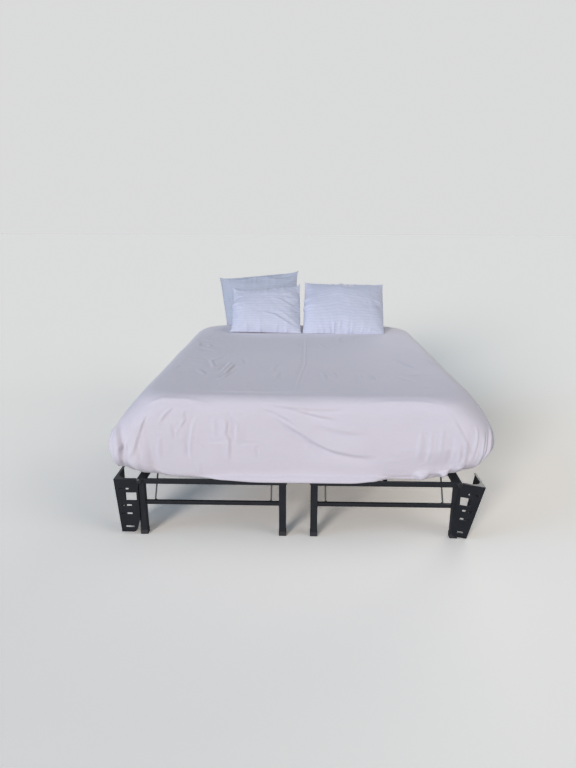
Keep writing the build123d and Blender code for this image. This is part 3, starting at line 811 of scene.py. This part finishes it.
# The outline of each, from the centre of its CAD box across and up its slope: the lower left,
# lower right, upper right and upper left corner, then how far the lower, right, upper and
# left edge draw in between their ears
pillow_outlines = {
    "right_pillow": ((-0.316, -0.252), (0.305, -0.254), (0.322, 0.231), (-0.3, 0.247),
                     0.006, 0.004, 0.01, 0.004),
    "left_front_pillow": ((-0.272, -0.203), (0.282, -0.217), (0.27, 0.234), (-0.274, 0.2),
                          0.004, 0.006, 0.026, 0.024),
    "left_back_pillow": ((-0.262, -0.222), (0.3, -0.222), (0.316, 0.224), (-0.32, 0.166),
                         0.004, 0.01, 0.014, 0.006),
}
# The creases on their fronts: line across and up, width, height, how one-sided
pillow_creases = {
    "right_pillow": [
        ([(-0.075, -0.25), (-0.078, -0.205), (-0.066, -0.165)], 0.007, 0.005, 0.2),
        ([(-0.045, -0.25), (-0.036, -0.2), (-0.015, -0.155)], 0.007, 0.005, -0.2),
        ([(-0.02, -0.248), (0.01, -0.205), (0.05, -0.17)], 0.009, 0.0045, 0.2),
        ([(-0.1, -0.25), (-0.125, -0.21), (-0.16, -0.185)], 0.009, 0.004, 0),
        ([(0.29, -0.246), (0.225, -0.225), (0.16, -0.222)], 0.01, 0.0045, 0.4),
        ([(-0.312, 0.16), (-0.27, 0.165), (-0.225, 0.15)], 0.008, 0.004, 0.2),
        ([(-0.314, 0.06), (-0.28, 0.085), (-0.24, 0.085)], 0.008, 0.0035, 0),
        ([(-0.314, -0.06), (-0.275, -0.045), (-0.235, -0.055)], 0.008, 0.0035, 0),
        ([(0.31, 0.01), (0.27, 0.035), (0.225, 0.035)], 0.008, 0.004, 0.2),
        ([(0.312, 0.11), (0.275, 0.12), (0.23, 0.105)], 0.008, 0.0035, 0),
        ([(0.305, -0.12), (0.27, -0.115), (0.235, -0.125)], 0.008, 0.0035, 0),
    ],
    "left_front_pillow": [
        ([(0.27, -0.19), (0.165, -0.14), (0.075, -0.085), (-0.045, -0.06)], 0.01, 0.0062, 0.4),
        ([(0.272, -0.15), (0.205, -0.115), (0.135, -0.06), (0.06, -0.03)], 0.012, 0.0034, 0.1),
        ([(0.274, -0.02), (0.2, 0), (0.12, 0.05), (0.05, 0.07)], 0.012, 0.004, 0.2),
        ([(0.262, 0.215), (0.205, 0.17), (0.15, 0.182), (0.08, 0.16)], 0.008, 0.0055, 0.4),
        ([(0.255, 0.19), (0.19, 0.125), (0.11, 0.105)], 0.009, 0.0055, -0.3),
        ([(0.266, 0.11), (0.215, 0.07), (0.15, 0.06)], 0.009, 0.004, 0.2),
        ([(-0.25, 0.085), (-0.205, 0.095), (-0.16, 0.085)], 0.008, 0.0035, 0),
        ([(-0.244, -0.03), (-0.205, -0.01), (-0.16, -0.015)], 0.008, 0.0035, 0),
        ([(-0.262, -0.195), (-0.19, -0.16), (-0.13, -0.12)], 0.01, 0.0045, 0.3),
        ([(-0.262, 0.19), (-0.2, 0.15), (-0.14, 0.14)], 0.01, 0.004, 0.2),
    ],
    "left_back_pillow": [
        ([(0.3, 0.196), (0.225, 0.158), (0.14, 0.15), (0.06, 0.172)], 0.009, 0.012, 0.5),
        ([(0.21, 0.196), (0.13, 0.166), (0.04, 0.168), (-0.04, 0.15)], 0.01, 0.0105, -0.4),
        ([(0.08, 0.18), (-0.01, 0.176), (-0.11, 0.15), (-0.21, 0.146)], 0.009, 0.0095, 0.4),
        ([(0.29, 0.15), (0.215, 0.118), (0.12, 0.105)], 0.011, 0.006, 0.4),
        ([(0.01, 0.125), (-0.09, 0.11), (-0.18, 0.11)], 0.012, 0.0045, 0.3),
        ([(-0.305, 0.15), (-0.255, 0.08), (-0.235, 0)], 0.01, 0.0045, 0.3),
        ([(-0.262, 0.06), (-0.232, -0.06), (-0.225, -0.15)], 0.01, 0.0045, -0.3),
        ([(-0.24, -0.205), (-0.18, -0.165), (-0.12, -0.15)], 0.01, 0.0045, 0.3),
    ],
}
# The back pillow takes the darker copy of the case cotton, which is painted shade
case_cloths = {"right_pillow": case_cotton, "left_front_pillow": case_cotton,
               "left_back_pillow": shaded_case_cotton}
seam_gathers = {"right_pillow": 0.0030, "left_front_pillow": 0.0032, "left_back_pillow": 0.0014}
lower_gather_share = 0.35           # the gathers are flatter along the edge that it stands on
gather_pitch, gather_reach = 0.031, 0.026
gather_field = (0.31, 0.23)         # half width and height, for the distances to the edges
open_pillow = "left_back_pillow"    # its case has its flat end and stitched hem on the left
hem_width, hem_thickness = 0.085, 0.0010
stitch_width, stitch_depth = 0.0045, 0.0022
fuller_below = 0.35                 # how much fuller the lower edge is than the upper one
pillow_cell = 0.0105
pillow_frames = 36
pillow_finer = 3                    # fine cells in each simulated one
pillow_passes = 26                  # how often the simulated cloth is evened out
seam_share = 0.3                    # how much of the seam's waviness is kept
layer_gap = 0.004                   # half the distance of the two layers before they are filled
flat_end_gap = 0.0025               # half the distance of the two layers at the flat end
rest_height, rest_softness = 0.0004, 0.005


def pillow_index(columns, rows):
    """Vertex numbers of the front and the back layer, which share the sewn edge."""
    front = np.arange((columns + 1) * (rows + 1)).reshape(columns + 1, rows + 1)
    back = front.copy()
    back[1:-1, 1:-1] = front.size + np.arange((columns - 1) * (rows - 1)).reshape(columns - 1, -1)
    return front, back


def pillow_piece(name, front_places, back_places, flat, material):
    """Two layers of cloth as one closed mesh, from their grids of points."""
    front, back = pillow_index(flat.shape[0] - 1, flat.shape[1] - 1)
    points = np.zeros((back.max() + 1, 3))
    points[back] = back_places
    points[front] = front_places
    even = np.zeros((len(points), 2))
    even[back] = flat
    even[front] = flat
    faces = np.concatenate([grid_faces(front), grid_faces(back, flipped=True)])
    return new_piece(name, points, faces, material, "root", even[faces.ravel()])


cloth_settings = {
    "quality": 6, "mass": 0.25, "tension_stiffness": 40, "compression_stiffness": 40,
    "shear_stiffness": 12, "bending_stiffness": 0.35, "tension_damping": 8,
    "compression_damping": 8, "shear_damping": 8, "air_damping": 3, "use_pressure": True,
}


def inflate(piece, pressure):
    """Blows up the sewn cloth by a cloth simulation, and returns where its points end up."""
    cloth = piece.modifiers.new("cloth", "CLOTH")
    for name, value in cloth_settings.items():
        setattr(cloth.settings, name, value)
    cloth.settings.uniform_pressure_force = pressure
    cloth.settings.effector_weights.gravity = 0
    cloth.collision_settings.use_collision = False
    cloth.point_cache.frame_start = 1
    cloth.point_cache.frame_end = pillow_frames
    for number in range(1, pillow_frames + 1):
        bpy.context.scene.frame_set(number)
    graph = bpy.context.evaluated_depsgraph_get()
    blown = read_vectors(piece.evaluated_get(graph).data)
    piece.modifiers.remove(cloth)
    bpy.context.scene.frame_set(1)
    return blown


def finer_rows(grid, times):
    """More rows along a grid's first axis, on a smooth curve through the ones it has."""
    count = len(grid) - 1
    at = np.linspace(0, count, count * times + 1)
    start = np.minimum(at.astype(int), count - 1)
    return smooth_curve(grid, np.gradient(grid, axis=0), start, (at - start)[:, None, None])


def finer_grid(grid, times):
    return finer_rows(finer_rows(grid, times).swapaxes(0, 1), times).swapaxes(0, 1)


def outline_shift(seam, corners, pinches):
    """How far each point of a grid moves so that its edge, the seam, follows the outline."""
    def edge(start, end, pinch, inward, places):
        share = np.linspace(0, 1, len(places))[:, None]
        ears = 1 - np.abs(2 * share - 1) ** 9
        return start + share * (end - start) + pinch * ears * np.array(inward) - places[:, :2]

    lower_left, lower_right, upper_right, upper_left = np.array(corners)
    lower = edge(lower_left, lower_right, pinches[0], (0, 1), seam[:, 0])
    right = edge(lower_right, upper_right, pinches[1], (-1, 0), seam[-1])
    upper = edge(upper_left, upper_right, pinches[2], (0, -1), seam[:, -1])
    left = edge(lower_left, upper_left, pinches[3], (1, 0), seam[0])
    u = np.linspace(0, 1, len(lower))[:, None, None]
    v = np.linspace(0, 1, len(left))[None, :, None]
    return ((1 - v) * lower[:, None] + v * upper[:, None] + (1 - u) * left[None] + u * right[None]
            - (1 - u) * (1 - v) * lower[0] - u * (1 - v) * lower[-1]
            - u * v * upper[-1] - (1 - u) * v * upper[0])


def seam_folds(node, flat, away_x, away_y, layer, seed):
    """Gathers along the seams, from each point's distance to the nearest side and end."""
    lift = np.zeros(len(flat))
    lower_share = np.where(flat[:, 1] < 0, lower_gather_share, 1)
    for away, along, share in ((away_x, flat[:, 1], 1), (away_y, flat[:, 0], lower_share)):
        wander = 2.6 * noise(flat + 3 * layer, 0.045, seed + 2)
        folds = np.sin(along * 2 * math.pi / gather_pitch + wander)
        strength = (0.5 + 0.5 * noise(flat, 0.09, seed + 3)) * share
        lift += folds * strength * smooth(0, 0.012, away) * np.exp(-away / gather_reach)
    return seam_gathers[node] * lift


def pillow_relief(node, places, layer, seed):
    """How far the case stands off its smooth form: gathers along the seam and creases."""
    columns, rows = places.shape[:2]
    points = places.reshape(-1, 3)
    flat = points[:, :2]
    away_x = (gather_field[0] * (1 - np.abs(np.linspace(-1, 1, columns)))).repeat(rows)
    away_y = np.tile(gather_field[1] * (1 - np.abs(np.linspace(-1, 1, rows))), columns)
    lift = 0.0016 * noise(points, 0.05, seed) + 0.0011 * noise(points, 0.024, seed + 1)
    lift += seam_folds(node, flat, away_x, away_y, layer, seed)
    if layer > 0:
        for shape in pillow_creases[node]:
            lift += crease(flat, *shape)
    if node == open_pillow:
        from_end = (places[..., 0] - places[0, :, 0]).ravel()
        stitched = np.exp(-((from_end - hem_width) / stitch_width) ** 2)
        doubled = smooth(hem_width, hem_width - 0.004, from_end)
        lift += hem_thickness * doubled - stitch_depth * stitched
    edge_fade = smooth(0, 0.006, np.minimum(away_x, away_y))
    return (lift * edge_fade).reshape(columns, rows)


def even_out(layer):
    """Softens the sharp folds of a simulated layer and the waviness of its seam."""
    for edge in (layer[0], layer[-1], layer[:, 0], layer[:, -1]):
        edge[:, 2] *= seam_share
    for _ in range(pillow_passes):
        around = (layer[:-2, 1:-1] + layer[2:, 1:-1] + layer[1:-1, :-2] + layer[1:-1, 2:]) / 4
        layer[1:-1, 1:-1] += 0.6 * (around - layer[1:-1, 1:-1])


def blown_layers(node, width, height, bow_x, bow_y, pressure, seed):
    """The points of the front and back layer, sewn together and filled, and their flat places."""
    columns, rows = round(width / pillow_cell), round(height / pillow_cell)
    flat = np.stack(np.meshgrid(np.linspace(-width / 2, width / 2, columns + 1),
                                np.linspace(-height / 2, height / 2, rows + 1), indexing="ij"), -1)
    share = flat / (width / 2, height / 2)
    bow = 2 * np.array([bow_x, bow_y]) / (width, height)
    bowed = flat * (1 + bow * (1 - share[..., ::-1] ** 2))
    inner = (1 - np.abs(share)).min(-1, keepdims=True) > 1e-6
    lumps = 0.002 * noise(bowed.reshape(-1, 2), 0.06, seed).reshape(columns + 1, rows + 1, 1)
    front = np.concatenate([bowed, inner * (layer_gap + lumps)], -1)
    back = np.concatenate([bowed, inner * (lumps - layer_gap)], -1)
    cut = pillow_piece(node + "_cut", front, back, flat, case_cotton)
    blown = inflate(cut, pressure)
    bpy.data.objects.remove(cut)
    front, back = (blown[index] for index in pillow_index(columns, rows))
    for layer in (front, back):
        even_out(layer)
    return (finer_grid(grid, pillow_finer) for grid in (front, back, flat))


def leaned(shape, node, lean):
    """The pillow's points turned to its lean, in the middle of its CAD box, and flattened
    where it rests on the mattress."""
    low, high = (np.array(corner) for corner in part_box(node))
    tilt = math.radians(lean)
    up = np.array([0, math.sin(tilt), math.cos(tilt)])
    towards = np.array([0, -math.cos(tilt), math.sin(tilt)])
    placed = shape[:, :1] * (1, 0, 0) + shape[:, 1:2] * up + shape[:, 2:] * towards + (low + high) / 2
    floor = low[2] + rest_height
    placed[:, 2] = floor + rest_softness * np.logaddexp(0, (placed[:, 2] - floor) / rest_softness)
    return placed


def make_pillow(node, width, height, bow_x, bow_y, pressure, thickness, lean, seed):
    front, back, flat = blown_layers(node, width, height, bow_x, bow_y, pressure, seed)
    outline = pillow_outlines[node]
    shift = outline_shift(front, outline[:4], outline[4:])
    rise = np.linspace(-0.5, 0.5, front.shape[1])[None, :]
    fullness = (1 - fuller_below * rise) * thickness / (front[..., 2].max() - back[..., 2].min())
    if node == open_pillow:
        fullness = fullness * smooth(-0.06, 0.22, np.linspace(0, 1, len(front)))[:, None]
    for layer in (front, back):
        layer[..., :2] += shift
        layer[..., 2] *= fullness
    if node == open_pillow:
        front[1:5, 1:-1, 2] = np.maximum(front[1:5, 1:-1, 2], flat_end_gap)
        back[1:5, 1:-1, 2] = np.minimum(back[1:5, 1:-1, 2], -flat_end_gap)
    for layer, way in ((front, 1), (back, -1)):
        layer[..., 2] += way * pillow_relief(node, layer, way, seed)
    pillow = pillow_piece(node + "_case", front, back, flat, case_cloths[node])
    write_points(pillow.data, leaned(read_vectors(pillow.data), node, lean))
    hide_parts(node)


for row in pillow_table:
    make_pillow(*row)


# The CAD nodes that show take their finish here
def dress(names, material):
    for name in names:
        mesh = nodes[name].data
        mesh.materials.clear()
        mesh.materials.append(material)


for side in sides:
    dress([f"{side}_fold_hinges", f"{side}_leg_pivots"], frame_black)
    for end in ("foot", "head"):
        dress([f"{side}_{end}_deck", f"{side}_{end}_wires"], frame_black)
        dress([f"{side}_{end}_bracket"], bracket_black)
    for name in frame_names:
        dress([f"{side}_{name}_legs", f"{side}_{name}_crossbar"], frame_black)
        dress([f"{side}_{name}_caps"], cap_plastic)
        dress([f"{side}_{name}_braces"], brace_steel)
dress(["bracket_bolts"], bolt_zinc)


# Small hardware, in the frame's own metres
def joined_piece(name, parts, material, body):
    """One piece from several (points, faces) shells."""
    points, faces = [], []
    for part_points, part_faces in parts:
        faces += [[v + len(points) for v in face] for face in part_faces]
        points += part_points.tolist()
    return new_piece(name, points, faces, material, body)


def turned(place, axis, profile, around=20):
    """A shell turned about an axis: the profile's (radius, distance along the axis)."""
    across = np.array(Vector(axis).orthogonal().normalized())
    angle = 2 * math.pi * np.arange(around)[:, None] / around
    circle = np.cos(angle) * across + np.sin(angle) * np.cross(axis, across)
    points = np.concatenate([np.array(place) + np.array(axis) * along + radius * circle
                             for radius, along in profile])
    index = np.arange(len(points)).reshape(-1, around)
    faces = grid_faces(index, (False, True), flipped=True).tolist()
    return points, faces + [index[0, ::-1].tolist(), index[-1].tolist()]


weld_reach, weld_ripples = 0.0024, 24
weld_steps, weld_sides = 96, 8


def weld_bead(centre, half, seed):
    """A rippled weld round a square tube that ends on a leg's side, in the plane across X."""
    ripple = np.random.default_rng(seed).uniform(0.8, 1.15, (weld_steps, 1))
    angle = 2 * math.pi * np.arange(weld_steps)[:, None] / weld_steps
    turn = 2 * math.pi * np.arange(weld_sides) / weld_sides
    square = half / (np.cos(angle) ** 6 + np.sin(angle) ** 6) ** (1 / 6)
    bead = weld_reach * ripple * (1 + 0.12 * np.sin(weld_ripples * angle))
    out = square + bead * np.cos(turn)
    points = np.stack([bead * np.sin(turn), out * np.cos(angle), out * np.sin(angle)], -1) + centre
    index = np.arange(weld_steps * weld_sides).reshape(weld_steps, -1)
    return points.reshape(-1, 3), grid_faces(index, (True, True)).tolist()


# Profiles: radius and distance out of the face
rivet_dome = [(0.0072, -0.0005), (0.0072, 0.0006), (0.0064, 0.0018), (0.0046, 0.0027),
              (0.0018, 0.0031)]
washer_ring = [(0.0118, -0.0004), (0.0122, 0.0002), (0.0122, 0.0013), (0.0116, 0.0018),
               (0.0080, 0.0018)]
leg_from_pivot = 0.029   # from a leg's pivot out to the leg's centre line
ear_span = 0.043         # over the two ears that hold a leg
bolt_head_half, bolt_head_height = 0.0085, 0.005
leg_joints = {joint["child"]: joint for joint in frame["joints"] if joint["parent"] == "root"}


def make_welds(side, name):
    """A bead round each end of a crossbar, where it meets a leg."""
    body = f"{side}_{name}_leg_frame"
    joint = leg_joints[body]
    leg_y = joint["pos_m"][1] - joint["axis"][0] * leg_from_pivot
    low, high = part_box(f"{side}_{name}_crossbar")
    half = (high.z - low.z) / 2
    beads = [weld_bead((x, leg_y, low.z + half), half, round(1000 * abs(x)) + len(name))
             for x in sorted((low.x, high.x), key=abs)]
    joined_piece(f"{side}_{name}_welds", beads, frame_black, body)


def make_rivets(side):
    """The domed heads of the pivot pins, on the outer faces of each leg's two ears."""
    low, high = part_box(f"{side}_leg_pivots")
    ears = [(low.x, -1), (low.x + ear_span, 1), (high.x - ear_span, -1), (high.x, 1)]
    rivets = []
    for name in frame_names:
        _, pivot_y, pivot_height = leg_joints[f"{side}_{name}_leg_frame"]["pos_m"]
        rivets += [turned((x, pivot_y, pivot_height), (way, 0, 0), rivet_dome) for x, way in ears]
    joined_piece(f"{side}_pivot_rivets", rivets, brace_steel, "root")


def make_washers():
    """The washers under the heads of the bracket bolts."""
    low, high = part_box("bracket_bolts")
    across, end = high.x - bolt_head_half, high.y - bolt_head_height
    washers = [turned((x, way * end, (low.z + high.z) / 2), (0, way, 0), washer_ring)
               for x in (-across, across) for way in (-1, 1)]
    joined_piece("bolt_washers", washers, bolt_zinc, "root")


for side in sides:
    for name in frame_names:
        make_welds(side, name)
    make_rivets(side)
make_washers()


# The floor, the background and the lamps
floor_half = 60


def make_stage():
    """A plain pale floor. The camera sees it paler than it lights the object."""
    material, tree, shader = start_material("floor", Roughness=0.9, Specular_IOR_Level=0.1)
    mottle = clouds(tree, object_place(tree), 0.8, 3.0)
    feed(tree, shader, Base_Color=mix_colours(tree, mottle, (0.54, 0.535, 0.53), (0.56, 0.555, 0.55)))
    shown = tree.nodes.new("ShaderNodeBsdfDiffuse")
    feed(tree, shown, Color=mix_colours(tree, mottle, (1.40, 1.33, 1.19), (1.43, 1.36, 1.22)))
    ray = tree.nodes.new("ShaderNodeLightPath")
    mix_shaders(tree, ray.outputs["Is Camera Ray"], shader.outputs[0], shown.outputs[0],
                "Material Output")
    mesh = bpy.data.meshes.new("floor")
    corners = [(x * floor_half, y * floor_half, 0) for x, y in ((-1, -1), (1, -1), (1, 1), (-1, 1))]
    mesh.from_pydata(corners, [], [(0, 1, 2, 3)])
    mesh.materials.append(material)
    add_object("floor", mesh)


def make_world():
    """Soft light from all round, and a pale background for the camera and reflections."""
    world = bpy.data.worlds.new("studio")
    bpy.context.scene.world = world
    world.use_nodes = True
    tree = world.node_tree
    background = tree.nodes["Background"]
    background.inputs["Color"].default_value = (0.74, 0.86, 1.0, 1)
    background.inputs["Strength"].default_value = 0.24
    shown = add_node(tree, "ShaderNodeBackground", Color=(0.70, 0.705, 0.705, 1))
    ray = tree.nodes.new("ShaderNodeLightPath")
    seen = math_node(tree, "MAXIMUM", ray.outputs["Is Camera Ray"], ray.outputs["Is Glossy Ray"])
    seen = math_node(tree, "MAXIMUM", seen, ray.outputs["Is Transmission Ray"])
    mix_shaders(tree, seen, background.outputs[0], shown.outputs[0], "World Output")


# The lamps are soft suns: name, direction towards it, spread in degrees, strength, colour
lamps = [
    ("front_lamp", (-0.45, -0.87, 0.25), 20, 2.15, (1.0, 0.945, 0.955)),
    ("right_lamp", (0.88, -0.38, 0.30), 40, 0.65, (1.0, 0.95, 0.94)),
    ("left_lamp", (-0.90, -0.22, 0.36), 35, 0.62, (0.36, 0.62, 1.0)),
    ("back_lamp", (0.45, 0.88, 0.16), 40, 1.15, (1.0, 0.96, 0.94)),
]


def make_lamps():
    for name, towards, spread, strength, colour in lamps:
        data = bpy.data.lights.new(name, "SUN")
        data.angle = math.radians(spread)
        data.energy = strength
        data.color = colour
        lamp = add_object(name, data)
        lamp.rotation_mode = "QUATERNION"
        lamp.rotation_quaternion = (-Vector(towards)).to_track_quat("-Z", "Y")


make_stage()
make_world()
make_lamps()
bpy.context.scene.view_settings.view_transform = "Standard"
